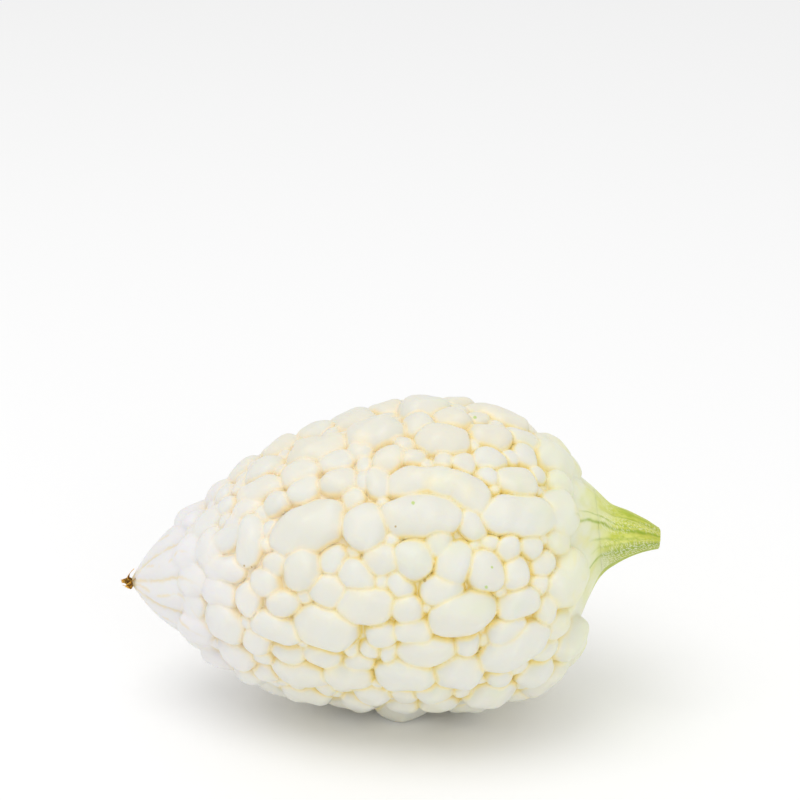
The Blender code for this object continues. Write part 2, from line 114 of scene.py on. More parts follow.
# Each wart of the front: station, height above the axis as seen, length, width, lean
FRONT_WARTS = (
    (23, 7.5, 12, 8, 70), (28.5, 9.8, 14, 6.5, 0), (34.3, 8.8, 14, 8.5, 80), (26.3, 1.3, 14, 7.5, -6),
    (24.8, -5, 11, 8, -5), (25.7, -14, 12.5, 11, -20), (28, -23, 12, 10, -20), (23, 15, 12, 7.5, 25),
    (28.3, 18.5, 7, 6, 0), (26.5, 23.8, 12, 8, 28), (34, 17.7, 10.5, 6.5, 0), (37.5, 22.5, 14.5, 8, -3),
    (30.5, 13.7, 7, 5, 0), (18, 20, 12, 8, 30), (34, 31, 11, 9, 20), (17.5, -1, 10, 7.5, 0),
    (42.5, 18.5, 7.5, 7, 0), (39, 28.5, 12, 8.5, 0), (49, 26.5, 11.5, 9, -5), (50, 21.5, 9.5, 8, 0),
    (32.5, -7.7, 9, 8, 90), (37.3, -3.7, 9, 7.5, 0), (42, -9.5, 9.5, 7.5, 10), (41, 1.8, 8, 6.5, 10),
    (48, -0.6, 11, 11, 0), (39.5, -16.5, 14.5, 8.5, -12), (34, -19.5, 8.5, 8, 90), (42, -23.5, 9.5, 6, 0),
    (53, -18, 17.5, 12.5, -8), (51, -25.3, 11, 7, -12), (45, -30, 16, 10, -3), (57.5, -31.5, 14, 10, 0),
    (61, -27.5, 8.5, 6, 0), (50.5, 11.5, 21.5, 13, 12), (66, 10, 12.5, 12, 80), (81, 12, 21.5, 11.5, -3),
    (81, 21.5, 17, 9, 2), (93.5, 17.5, 15, 10, -40), (107, 9.5, 22, 11, 0), (107, 18.7, 12, 9.5, 0),
    (54, 33, 17.5, 11, -2), (59, 28.7, 10, 7.5, 0), (59.5, 23.3, 10, 8.5, 0), (66, 31, 7, 7, 0),
    (70.3, 22, 10, 7, 85), (66.3, 22.5, 6, 4.5, 80), (73.2, 28.5, 9, 8.7, 0), (80, 28, 6.5, 6, 0),
    (70, 37, 16, 13, -8), (83, 42.5, 14, 13, 0), (88, 33, 14.5, 10.5, 0), (100, 25.8, 9.7, 7, 0),
    (100.5, 32.5, 12, 9.5, 0), (102, 38, 19, 10, -15), (114.2, 29, 9, 8, 90), (70, 0.5, 10.5, 8, -20),
    (78.5, -0.2, 10.5, 10, 90), (85.5, 3.6, 8, 7, 90), (89, -2.5, 12, 9, 55), (103.5, 0.5, 7, 6.7, 0),
    (62.7, -3.5, 9.5, 8.7, -20), (54.7, -7, 10, 8.7, 25), (84.8, -9.5, 11.3, 8, -5), (97, -5.5, 11, 10, 90),
    (105, -7, 8.5, 8, 30), (64, -12.2, 16, 10.5, -3), (75.4, -14.2, 8.7, 8, 0), (90, -17.3, 17.5, 12, 8),
    (105, -14.8, 12.5, 8.5, 0), (112, -16.5, 9, 7, 80), (68, -20.5, 8.7, 7.5, 0), (76.7, -20.3, 10.5, 7.5, 0),
    (101.2, -22.3, 10.5, 8.5, 0), (90.7, -25, 7, 7, 0), (79.7, -26.5, 15.5, 9.5, 3),
    (102.5, -28, 20.5, 12, 18), (73.5, -33, 16.5, 12, 0), (87.7, -33.5, 13.5, 13, 0),
    (94.5, -40, 14.5, 12, 15), (109, -37, 16, 12, 32),
    (116.6, -27.5, 12, 10.5, 60), (71, -40.5, 10, 9, 0), (116.5, 1.5, 8.5, 7, 0), (118, 17.5, 9, 7.5, 0),
    (119.5, -6, 11, 11, 20), (117.6, 12, 10, 8.5, 0), (120, 24, 10, 9, 90), (109.4, 0.7, 6.5, 6.5, 0),
    (112.4, -4.2, 7, 6, 0), (111, -9.7, 6.5, 5.5, 0), (46, -38, 15, 11, 0), (87.5, 20.5, 14, 9.5, -18),
)

# The far side: the angles of its ridges, the warts along them, and the collar round the stalk
BACK_RIDGES = (162.0, 198.0, 240.0, 282.0, 320.0)
RIDGE_FROM, RIDGE_TO = 24.0, 112.0
RIDGE_WART_LENGTH = (10.0, 21.0)
RIDGE_WART_WIDTH = (9.0, 12.5)
RIDGE_STRAY = 3.5
RIDGE_LEAN = 22.0
COLLAR_STATION, COLLAR_LENGTH, COLLAR_WIDTH = 115.5, 13.0, 11.5

# The three warts that it lies on: station, angle, length, width, lean
RESTING_WARTS = ((70, 168, 17, 14, 0), (57, 192, 16, 14, 0), (90, 178, 17, 14, 0))
RESTING_CUT = 0.7

# Small warts in between: how large, how many places are tried for each size, and where
FILL_SIZES = (4.6, 3.6, 2.9, 2.3, 1.9, 1.6)
FILL_TRIES = (2000, 2000, 3000, 5000, 12000, 20000)
FILL_MOST = 5.0
FILL_OVERLAP = 0.95
FILL_FROM, FILL_TO = 17.0, 117.0
FILL_STRETCH = 1.3
SEED = 7

# The skin's mesh
GRID_STEP = 0.55
GRID_LOW, GRID_HIGH = (-3.0, -47.0, -46.0), (128.5, 47.0, 48.0)
SKIN_TRIANGLES = 196000
NEAR = 3.0  # how far past its own size a wart is felt
BAND = (-2.5, 8.5)  # how deep under the floor and how high over it the warts are felt

# How far out of the skin its narrow grooves and its wide clefts are felt
GROOVE_FELT, CLEFT_FELT = 1.0, 3.0

# The stalk
STALK_ROUND, STALK_ROWS = 200, 130
STRIA_COUNT, STRIA_HEIGHT, STRIA_WANDER, STRIA_WAVE = 15, 0.07, 1.2, 6.0
STRIA_FADE = (127.5, 133.0)
CUT_RINGS = (0.985, 0.94, 0.85, 0.7, 0.5, 0.3, 0.12)
CUT_BULGE = 0.4
CUT_SLOPE = math.tan(math.radians(STALK_CUT_TILT))

# The dried flower
PETALS = 7
PETAL_LENGTH, PETAL_WIDTH, PETAL_THICKNESS = (1.8, 3.8), (1.1, 1.9), 0.12
PETAL_ROWS, PETAL_COLUMNS = 14, 7
PETAL_SAG, PETAL_CRUMPLE, PETAL_WAVE, PETAL_STRAY = 0.25, 0.035, 0.35, 0.12
PETAL_LEAN, PETAL_CURL, PETAL_TWIST = (0.1, 1.0), (-1.6, 1.2), (-1.2, 1.2)
PETAL_FOOT_RADIUS, PETAL_FOOT_STATION = 0.5, -0.05
STRIP_LEAST, STRIP_SWELL = 0.35, 1.15
PETAL_GOLD, THREAD_GOLD = 1.0, 1.6
THREAD_ROWS = 24

# The threads: start, end, bow, width
THREADS = (
    (Vector((-0.9, -0.8, 0.8)), Vector((0.9, -1.4, 4.4)), Vector((-0.7, -0.2, 0.1)), 0.75),
    (Vector((-0.3, -1.2, 0.6)), Vector((1.6, -2.6, 2.2)), Vector((-0.2, -0.5, 0.2)), 0.9),
)


def tone(red, green, blue):
    """A shader's colour from values of 0 to 255 on a screen."""
    return (*(((value / 255 + 0.055) / 1.055) ** 2.4 for value in (red, green, blue)), 1.0)


# Colours of the skin, with painted shade and warm glow for its hollows and painted warm light for the upper
# side of its warts
TIP_WHITE, TIP_SHADE_GLOW_CREAM, TIP_BROWN = tone(232, 230, 230), tone(246, 233, 206), tone(206, 182, 116)
WART_WHITE, UPPER_REFLECTION_CREAM, WART_COOL = tone(227, 226, 215), tone(230, 225, 207), tone(226, 227, 220)
WART_GREEN, GROOVE_SHADE_GLOW_CREAM, GROOVE_SHADE_GLOW_GOLD = tone(222, 228, 196), tone(247, 235, 208), tone(246, 237, 196)
CLEFT_SHADE_GLOW_CREAM, CLEFT_SHADE_GLOW_GOLD, TIP_LINE = tone(252, 230, 178), tone(248, 224, 126), tone(233, 219, 184)
CREASE_SHADE_GLOW_PEACH, CREASE_SHADE_GLOW_GOLD = tone(250, 234, 202), tone(240, 214, 106)
DOT_GREEN, SPECK_BROWN = tone(184, 210, 110), tone(178, 146, 60)
SHOULDER_GREEN, SHOULDER_YELLOW = tone(230, 232, 203), tone(233, 230, 166)

# The whites of the warts: from where to where they change, and how strongly, with painted warm light
# reflected onto their upper side
BODY_FROM_TIP = (14, 50)
REFLECTION_UPWARDS, REFLECTION_STRENGTH = (8, 34), 0.6
CLOUD_SIZE, CLOUD_STRENGTH = 16, 0.6
COOL_TINTS, COOL_STRENGTH = (0.6, 1.1), 0.5
GREEN_SIZE, GREEN_LEVELS, GREEN_STATIONS, GREEN_STRENGTH = 11, (0.5, 0.75), (55, 105), 0.45

# The hollows: wide grooves and clefts, and along each crease a soft rim and a fine line, all painted with
# shade and the warm glow of light caught between the warts
GROOVE_LEVELS, GROOVE_SHADE_GLOW_STRENGTH = (0.12, 0.75), 0.4
CLEFT_LEVELS, CLEFT_SHADE_GLOW_STRENGTH = (0.25, 1.1), 0.55
CREASES_BEGIN, CREASES_END = (16, 36), (124, 112)
RIM_SHADE_WIDTH, RIM_SHADE_LEVELS, RIM_SHADE_STRENGTH = 2.6, (-0.1, 0.25), 0.7
LINE_WIDTH, LINE_LEVELS, CREASE_SHADE_GLOW_STRENGTH, CREASE_SHADE_GLOW_IN_CLEFT = 0.5, (0.05, 0.35), 0.15, 0.6
GOLDEN_STATIONS = (30, 90)

# The tip: cream lines in the grooves and between them, and a brown stain at the very end
TIP_LINE_WIDTH, TIP_LINES_FADE, TIP_LINE_STRENGTH = 0.5, (22.0, 12.0), 0.8
TIP_STRAY_SIZE, TIP_STRAY, TIP_SIDE_STRAY = 1.6, 1.4, 0.12
TIP_BREAK_SIZE, TIP_BREAK_LEVELS = 3.5, (0.25, 0.5)
TIP_SIDE_SIZE, TIP_SIDE_LEVELS, TIP_SIDE_STRENGTH = 2.6, (0.42, 0.58), 0.8
TIP_STAIN_STATIONS, TIP_STAIN_STRENGTH = (1.5, 0.3), 0.7

# Green dots and brown specks: station, how far up as the front is seen, half size
GREEN_DOTS = ((79, 13.3, 0.5), (95.9, -9, 0.45), (97.8, -3.9, 0.35), (96.6, 35.9, 0.5))
BROWN_SPECKS = ((74, 7.7, 0.3), (80.3, -6.7, 0.45), (33.3, 2.3, 0.3), (35.2, 1.6, 0.25))
DOT_STRENGTH, SPECK_STRENGTH = 0.8, 0.7
DOT_EDGE, DOT_SIDE = (1.25, 0.6), (0, 2)
DOT_WOBBLE_SIZE, DOT_WOBBLE = 0.6, 0.5

# The gloss, fine bumps and glow of the living skin
SKIN_ROUGHNESS, SKIN_ROUGH_SIZE, SKIN_ROUGH_CLOUDS, SKIN_ROUGH_GROOVES = 0.36, 5, 0.14, 0.12
SKIN_BUMPS, SKIN_BUMP_SIZE, SKIN_FINE_SIZE, SKIN_FINE_SHARE = 0.06, 3.0, 0.7, 0.3
STALK_ROUGHNESS, STALK_ROUGH_SIZE, STALK_ROUGH_CLOUDS = 0.42, 1.2, 0.2
STALK_BUMPS, STALK_BUMP_SIZE, STALK_FLECK_BUMP = 0.1, 0.5, 0.4
GLOW, GLOW_DEPTH, GLOW_DEPTHS = 0.45, 1.1, (1.0, 0.8, 0.5)

# Colours of the shoulder and stalk
STALK_PALE, STALK_GREEN, STALK_UNDER = tone(216, 220, 116), tone(198, 206, 76), tone(166, 182, 76)
STALK_END_GREEN, VEIN_GREEN = tone(206, 202, 78), tone(150, 174, 40)
FLECK_WHITE, CUT_GREEN, CUT_PITH = tone(238, 240, 214), tone(190, 196, 84), tone(214, 214, 140)

# The greens: where shoulder and stalk take over, streaks, and a darker end, underside and crest
SHOULDER_FADE, FLUSH_FADE, SEAM_FADE = (106.0, 130.0), (121.0, 132.0), (SEAM - 7, SEAM - 0.5)
FADE_STRAY_SIZE, FADE_STRAY = 9, 14
STREAK_LENGTH, STREAK_SHARE, STREAK_LEVELS = 12.0, 0.3, (0.35, 0.65)
YELLOW_LEVELS, YELLOW_STATIONS, YELLOW_STRENGTH = (0.46, 0.66), (110, 120), 0.8
FINE_SHARE, FINE_LEVELS, FINE_STATIONS, FINE_STRENGTH = 0.1, (0.52, 0.7), (127, 134), 0.45
END_STATIONS, END_STRENGTH = (134, 142), 0.6
UNDER_ANGLES, UNDER_STATIONS, UNDER_STRENGTH = (86, 104), (124, 129), 0.75
CREST_ANGLE, CREST_HALF, CREST_STATIONS, CREST_STRENGTH = -10, 24, (129, 138), 0.6
LEAST_RADIUS = 0.1

# Pale flecks on the stalk, most of all along one flank
FLECK_LENGTH, FLECK_WIDTH, FLECK_EDGE, FLECK_STRENGTH = 0.8, 0.42, (0.42, 0.22), 0.8
FLECKED_FLANK, FLECKED_HALF, FLECKED_STATIONS = 112.0, 24.0, (124, 129)
FLECK_PATCH_LENGTH, FLECK_PATCH_SHARE, FLECK_PATCH_LEVELS, FLECK_PATCH = 20, 0.5, (0.45, 0.6), 0.5

# The cut end, by how far inwards from its rim
CUT_EDGE, PITH_EDGE, PITH_STRAY_SIZE, PITH_STRAY = (0.005, 0.06), (0.2, 0.5), 0.5, 0.4

# The veins: angle at the cut, angle on the shoulder, first station, half width, strength
VEINS = (
    (60, 50, 119.5, 0.4, 0.95), (50, 41, 120.5, 0.28, 0.6), (80, 72, 123, 0.35, 0.5),
    (90, 84, 123, 0.35, 0.5), (112, 98, 119, 0.6, 0.8), (24, 27, 128, 0.4, 0.6),
    (38, 33, 130, 0.3, 0.4), (-4, 0, 130, 0.8, 1.0), (10, 13, 131, 0.4, 0.7),
    (-45, -40, 121, 0.4, 0.8), (-75, -83, 123, 0.3, 0.7), (-118, -122, 120, 0.4, 0.7),
    (-160, -158, 122, 0.4, 0.7), (150, 142, 121, 0.4, 0.7), (185, 175, 122, 0.4, 0.6),
)
VEINS_SPREAD, VEIN_FADE = (139.0, 121.0), 5.0
VEIN_WANDER, VEIN_WANDER_SIZE = 1.6, 4.0
VEIN_PATCH_SIZE, VEIN_PATCH_LEVELS, VEIN_LEAST = 3.0, (0.35, 0.6), 0.65

# Colours and gloss of the dried flower
DRIED_BLACK, DRIED_BROWN, DRIED_GOLD = tone(124, 76, 14), tone(206, 160, 48), tone(250, 206, 92)
MOTTLE_SIZE, MOTTLE_LEVELS, MOTTLE_STRAY = 0.5, (0.4, 0.65), 0.9
GOLD_EDGE = (0.35, 0.85)
DRIED_ROUGHNESS, DRIED_ROUGH_MOTTLE, DRIED_BUMPS = 0.45, 0.4, 0.12

# The floor, the light and the camera, in metres
FLOOR_SIZE, FLOOR_WHITE, FLOOR_ROUGHNESS = 8.0, (0.98, 0.98, 0.98, 1), 0.9
SKY = 0.79
SOFT_BOXES = (("overhead", (-0.3, -0.3, 1.3), 1.0, 5.0), ("front", (0.5, -1.2, 0.5), 0.8, 1.8))
CAMERA_RISE, CAMERA_LENS, CAMERA_DISTANCE = 25.0, 120.0, 0.7253
AIM_RIGHT, AIM_UP = 0.0027, 0.0427


# The skin's formula

def smooth_through(points):
    """A function through (x, y) points with a continuous slope."""
    xs, ys = np.array(points, float).T
    slopes = np.gradient(ys, xs)

    def value(x):
        left = np.clip(np.searchsorted(xs, x, side="right") - 1, 0, len(xs) - 2)
        span = xs[left + 1] - xs[left]
        t = np.clip((x - xs[left]) / span, 0, 1)
        start = (1 + 2 * t) * (1 - t) ** 2 * ys[left] + t * (1 - t) ** 2 * span * slopes[left]
        end = t * t * (3 - 2 * t) * ys[left + 1] + t * t * (t - 1) * span * slopes[left + 1]
        return start + end

    return value


floor_radius = smooth_through(FLOOR)
axis_rise = smooth_through(AXIS_RISE)


def slope_of(curve, x, step=0.1):
    """How steeply a curve rises at x."""
    return (curve(x + step) - curve(x - step)) / (2 * step)


def eased(x, start, end):
    """0 before start, 1 after end, and a smooth step between."""
    t = np.clip((x - start) / (end - start), 0, 1)
    return t * t * (3 - 2 * t)


def rib_relief(station, angle):
    """What the ribs add to the floor's radius."""
    long, short = RIB_MEANDER_LENGTHS
    wander = RIB_MEANDER * (np.sin(station / long) + np.sin(station / short + angle))
    phase = (np.degrees(angle) - RIB_ANGLE + wander) / RIB_STEP
    to_groove = np.abs(phase - np.floor(phase) - 0.5) * 2
    width = RIB_GROOVE_WIDTH / np.maximum(floor_radius(station) * math.pi / RIBS, RIB_GROOVE_WIDTH)
    groove = np.exp(-((to_groove / width) ** 2))
    crest = np.cos(phase * 2 * math.pi)
    at_tip = eased(station, *RIBS_BEGIN) * eased(station, *RIBS_FADE)
    at_stalk = eased(station, *RIBS_RETURN) * (RETURN_SHARE * floor_radius(station) + RETURN_LEAST)
    return at_tip * (RIB_CREST * crest - RIB_GROOVE_DEPTH * groove) + at_stalk * crest


def floor_distance(points):
    """The signed distance from the smooth floor, near it."""
    station = points[..., 0]
    height = points[..., 2] - axis_rise(station)
    across = np.hypot(points[..., 1], height)
    angle = np.arctan2(-points[..., 1], height)
    side = across - floor_radius(station) - rib_relief(station, angle)
    side /= np.sqrt(1 + slope_of(floor_radius, station) ** 2)
    return np.where(station < 0, np.hypot(across, station) - TIP_RADIUS, side)


def floor_frames(station, angle):
    """Points on the floor, and the directions along it, up round it and out of it, as rows."""
    a = np.radians(angle)
    radius, slope = floor_radius(station), slope_of(floor_radius, station)
    point = np.stack([station, -radius * np.sin(a), axis_rise(station) + radius * np.cos(a)], -1)
    along = np.stack([np.ones_like(a), -slope * np.sin(a), slope * np.cos(a)], -1)
    along /= np.linalg.norm(along, axis=-1, keepdims=True)
    up = np.stack([np.zeros_like(a), np.cos(a), np.sin(a)], -1)
    return point, along, up, np.cross(along, up)


def wart(station, angle, length, width, lean):
    """A wart as its centre, its three directions as rows, and its three half sizes."""
    point, along, up, out = floor_frames(np.float64(station), np.float64(angle))
    turn = math.radians(lean)
    long_way = math.cos(turn) * along + math.sin(turn) * up
    fade = min(eased(station, *FADE_FROM_TIP), 1 - eased(station, *FADE_TO_STALK))
    rise = min(RISE_FLAT + RISE_SHARE * width / 2, MOST_RISE) * (LEAST_RISE + (1 - LEAST_RISE) * fade)
    axes = np.stack([long_way, np.cross(out, long_way), out])
    halves = np.array([length / 2 + WART_OVERLAP, width / 2 + WART_OVERLAP, rise + WART_SINK])
    return point - WART_SINK * out, axes, halves


def resting_warts():
    """The three warts that reach the ground."""
    lift = math.radians(LIFT)
    for row in RESTING_WARTS:
        centre, axes, halves = wart(*row)
        above = AXIS_START[2] + centre[0] * math.sin(lift) + centre[2] * math.cos(lift)
        yield centre, axes, np.array([halves[0], halves[1], above + RESTING_CUT])


def front_warts():
    """The warts of the front, turned from where they are seen to where they are."""
    for station, height, length, width, lean in FRONT_WARTS:
        top = floor_radius(station) + SEEN_RISE * (RISE_FLAT + RISE_SHARE * width / 2)
        nearer = 1 - math.sqrt(max(top**2 - height**2, 0)) / FRONT_DISTANCE
        above = height * nearer - axis_rise(station) * math.sin(math.radians(FRONT))
        round_by = math.degrees(math.asin(max(-MOST_ASIDE, min(MOST_ASIDE, above / top))))
        yield wart(FRONT_MIDDLE + (station - FRONT_MIDDLE) * nearer, FRONT - round_by, length, width, lean)


def ridge_warts(rng):
    """Long warts end to end along the far ribs, and a soft collar of lobes round the stalk."""
    for ridge in BACK_RIDGES:
        station = RIDGE_FROM + rng.uniform(0, 5)
        while station < RIDGE_TO:
            length = rng.uniform(*RIDGE_WART_LENGTH)
            centre = station + length / 2
            if centre < RIDGE_TO:
                stray, lean = rng.normal(0, RIDGE_STRAY), rng.normal(0, RIDGE_LEAN / 2)
                yield wart(centre, ridge + stray, length, rng.uniform(*RIDGE_WART_WIDTH), lean)
            station += length
    for rib in range(RIBS):
        yield wart(COLLAR_STATION, RIB_ANGLE + rib * RIB_STEP, COLLAR_LENGTH, COLLAR_WIDTH, 0)


def room_at(point, centres, axes, halves):
    """How far a point of the floor is outside the nearest wart's outline."""
    apart = point - centres
    reach = np.linalg.norm(np.einsum("nij,nj->ni", axes, apart) / halves, axis=1)
    return (np.linalg.norm(apart, axis=1) * (1 - 1 / np.maximum(reach, 0.01))).min()


def all_warts():
    """Every wart: those on the front, the far ridges and collar, and the small ones in between."""
    rng = np.random.default_rng(SEED)
    warts = [*front_warts(), *resting_warts(), *ridge_warts(rng)]
    columns = [np.array(column) for column in zip(*warts)]
    stations = np.linspace(FILL_FROM, FILL_TO, 200)
    share = np.cumsum(floor_radius(stations))
    share = (share - share[0]) / (share[-1] - share[0])
    for size, tries in zip(FILL_SIZES, FILL_TRIES):
        draws = rng.random((tries, 4))
        station, angle = np.interp(draws[:, 0], share, stations), 360 * draws[:, 1]
        lean, stretch = 180 * draws[:, 2] - 90, 1 + (FILL_STRETCH - 1) * draws[:, 3]
        points = floor_frames(station, angle)[0]
        for point, *place, turn, longer in zip(points, station, angle, lean, stretch):
            half = room_at(point, *columns) + FILL_OVERLAP
            if half > size:
                half = min(half, FILL_MOST)
                warts.append(wart(*place, 2 * half * longer, 2 * half, turn))
                columns = [np.array(column) for column in zip(*warts)]
    return columns


def wavered(points):
    """The points moved by a smooth waver, which takes the warts out of true."""
    moved = points.copy()
    for axis, (a, b) in enumerate(((1, 2), (2, 0), (0, 1))):
        for turn, (length, slant, height) in enumerate(WAVES, 1):
            along = points[..., a] + slant * points[..., b]
            moved[..., axis] += height * np.sin(2 * math.pi * along / length + turn * axis)
            a, b = b, a
    return moved


def blend_at(station):
    """How softly the warts run into each other, softer at both ends."""
    ends = np.maximum(eased(station, *SOFT_AT_TIP), eased(station, *SOFT_AT_STALK))
    return BLEND + (BLEND_AT_ENDS - BLEND) * ends


def wart_share(moved, blend, centre, axes, halves):
    """What one wart adds to the sum whose logarithm is the distance."""
    place = np.abs((moved - centre) @ axes.T / halves)
    power = place ** (WART_SQUARENESS - 1)
    level = np.maximum((power * place).sum(-1), 1e-6) ** (1 / WART_SQUARENESS)
    steep = np.linalg.norm(power / halves, axis=-1) * level ** (1 - WART_SQUARENESS)
    return np.exp(np.minimum(-(level - 1) / steep / blend, 60))


class Skin:
    """The distance from the skin at scattered points, with the warts near each kept in a list."""

    def __init__(self, warts, points):
        self.warts = warts
        self.near = [
            np.nonzero(((points - centre) ** 2).sum(1) < (max(halves) + NEAR) ** 2)[0]
            for centre, halves in zip(warts[0], warts[2])
        ]

    def distance(self, points):
        blend, moved = blend_at(points[:, 0]), wavered(points)
        total = np.exp(-floor_distance(points) / blend)
        for near, *one in zip(self.near, *self.warts):
            total[near] += wart_share(moved[near], blend[near], *one)
        return -blend * np.log(total)

    def outwards(self, points, step=0.05):
        """The directions in which the distance grows."""
        corners = np.array([(1, -1, -1), (-1, -1, 1), (-1, 1, -1), (1, 1, 1)]) * step
        slope = sum(corner * self.distance(points + corner)[:, None] for corner in corners)
        return slope / np.linalg.norm(slope, axis=1, keepdims=True)

    def settled(self, points, rounds=3):
        """The points moved onto the skin."""
        for _ in range(rounds):
            points = points - np.clip(self.distance(points), -0.4, 0.4)[:, None] * self.outwards(points)
        return points

    def creases(self, points):
        """How far the points are from a crease, where the two largest shares are alike."""
        blend, moved = blend_at(points[:, 0]), wavered(points)
        first, second = np.exp(-floor_distance(points) / blend), np.full(len(points), 1e-30)
        for near, *one in zip(self.near, *self.warts):
            share = wart_share(moved[near], blend[near], *one)
            second[near] = np.maximum(second[near], np.minimum(first[near], share))
            first[near] = np.maximum(first[near], share)
        return blend * np.log(first / second)

    def tints(self, points):
        """A number from 0 to 1 that is each wart's own."""
        blend, moved = blend_at(points[:, 0]), wavered(points)
        own = np.random.default_rng(SEED).random(len(self.near))
        total = np.exp(-floor_distance(points) / blend)
        tinted = total / 2
        for tint, near, *one in zip(own, self.near, *self.warts):
            share = wart_share(moved[near], blend[near], *one)
            total[near] += share
            tinted[near] += tint * share
        return tinted / total


def skin_grid(warts):
    """The distance from the skin on a grid of points, true in a band about the floor."""
    lines = [np.arange(low, high, GRID_STEP) for low, high in zip(GRID_LOW, GRID_HIGH)]
    points = np.stack(np.meshgrid(*lines, indexing="ij"), -1)
    blend, distance = blend_at(points[..., 0]), floor_distance(points)
    total = np.exp(np.clip(-distance / blend, -60, 60))
    band = (distance > BAND[0]) & (distance < BAND[1])
    moved = wavered(points)
    for one in zip(*warts):
        reach = max(one[2]) + NEAR
        ends = [np.searchsorted(line, (at - reach, at + reach)) for line, at in zip(lines, one[0])]
        block = tuple(slice(*pair) for pair in ends)
        here = band[block]
        total[block][here] += wart_share(moved[block][here], blend[block][here], *one)
    return -blend * np.log(total)


def surface_net(distance):
    """A point in each cell that the skin crosses, and a quad round each edge that it crosses."""
    inside = distance < 0
    shape = np.array(inside.shape)
    corners = []
    for corner in np.ndindex(2, 2, 2):
        corners.append(inside[tuple(slice(c, c + n - 1) for c, n in zip(corner, shape))])
    crossed = np.any(corners, axis=0) & ~np.all(corners, axis=0)
    number = np.full(crossed.shape, -1)
    number[crossed] = np.arange(crossed.sum())
    cells, places, quads = [], [], []
    step = np.eye(3, dtype=int)
    for axis, (a, b) in enumerate(((1, 2), (2, 0), (0, 1))):
        start = np.argwhere(np.diff(inside, axis=axis))
        start = start[np.all((start > 0) & (start < shape - 1), axis=1)]
        low, high = distance[tuple(start.T)], distance[tuple((start + step[axis]).T)]
        place = start + step[axis] * (low / (low - high))[:, None]
        around = []
        for i, j in ((0, 0), (1, 0), (1, 1), (0, 1)):
            around.append(number[tuple((start - i * step[a] - j * step[b]).T)])
        quad = np.stack(around, axis=1)
        quads.append(np.where(low[:, None] < 0, quad, quad[:, ::-1]))
        cells += around
        places += 4 * [place]
    cells, places = np.concatenate(cells), np.concatenate(places)
    count = np.bincount(cells)
    used = count > 0
    middles = np.stack([np.bincount(cells, column)[used] / count[used] for column in places.T], axis=1)
    return middles * GRID_STEP + GRID_LOW, (np.cumsum(used) - 1)[np.concatenate(quads)]


# Meshes

def to_row_frame():
    """The matrix from the fruit's axis, in millimetres, to where it lies, in metres."""
    place = Matrix.Translation(Vector(AXIS_START) * MM)
    return place @ Matrix.Rotation(math.radians(-LIFT), 4, "Y") @ Matrix.Scale(MM, 4)


def axis_places(mesh):
    """The mesh's points in millimetres in the frame of the fruit's axis."""
    points = np.empty(3 * len(mesh.vertices))
    mesh.vertices.foreach_get("co", points)
    back = np.array(to_row_frame().inverted())
    return points.reshape(-1, 3) @ back[:3, :3].T + back[:3, 3]


def close_holes(bm):
    """Closes each open edge loop with one face."""
    open_edges = [edge for edge in bm.edges if edge.is_boundary]
    bmesh.ops.holes_fill(bm, edges=open_edges, sides=0)


def cut_flat(bm, point, normal):
    """Takes away what lies beyond a plane and closes the cut with a flat face."""
    everything = bm.verts[:] + bm.edges[:] + bm.faces[:]
    bmesh.ops.bisect_plane(bm, geom=everything, plane_co=point, plane_no=normal, clear_outer=True, dist=1e-9)
    close_holes(bm)


def thinned(points, quads, triangles):
    """The same surface with about that many triangles, more of them where it bends."""
    mesh = bpy.data.meshes.new("skin")
    mesh.from_pydata(points.tolist(), [], quads.tolist())
    helper = bpy.data.objects.new("skin", mesh)
    bpy.context.scene.collection.objects.link(helper)
    thin = helper.modifiers.new("thin", "DECIMATE")
    thin.ratio = triangles / (2 * len(quads))
    thin.use_collapse_triangulate = True
    bm = bmesh.new()
    bm.from_mesh(helper.evaluated_get(bpy.context.evaluated_depsgraph_get()).to_mesh())
    bpy.data.objects.remove(helper)
    bpy.data.meshes.remove(mesh)
    return bm


def keep(mesh, name, values):
    """Keeps a number or a place for each point of the mesh, which its finish reads."""
    kind, field = ("FLOAT", "value") if values.ndim == 1 else ("FLOAT_VECTOR", "vector")
    mesh.attributes.new(name, kind, "POINT").data.foreach_set(field, values.ravel())


def keep_places(mesh, points):
    """Keeps each point's station, and how far in front of and above the axis it is."""
    station = points[:, 0]
    keep(mesh, "place", np.stack([station, -points[:, 1], points[:, 2] - axis_rise(station)], axis=1))


def shade(mesh, outwards):
    """Shades the skin smoothly by its own directions, and its flat cuts, which have many corners, flat."""
    turn = np.array(to_row_frame().to_3x3()) / MM
    corners = np.empty(len(mesh.loops), int)
    mesh.loops.foreach_get("vertex_index", corners)
    directions = (outwards @ turn.T)[corners]
    for face in mesh.polygons:
        if len(face.vertices) > 4:
            directions[list(face.loop_indices)] = face.normal
    mesh.shade_smooth()
    mesh.normals_split_custom_set(directions.tolist())


def shown(name, mesh, finish, node):
    """Puts a mesh in the scene in the place of a CAD node."""
    mesh.materials.append(finish)
    piece = bpy.data.objects.new(name, mesh)
    bpy.context.scene.collection.objects.link(piece)
    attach(piece, "root")
    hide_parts(node)


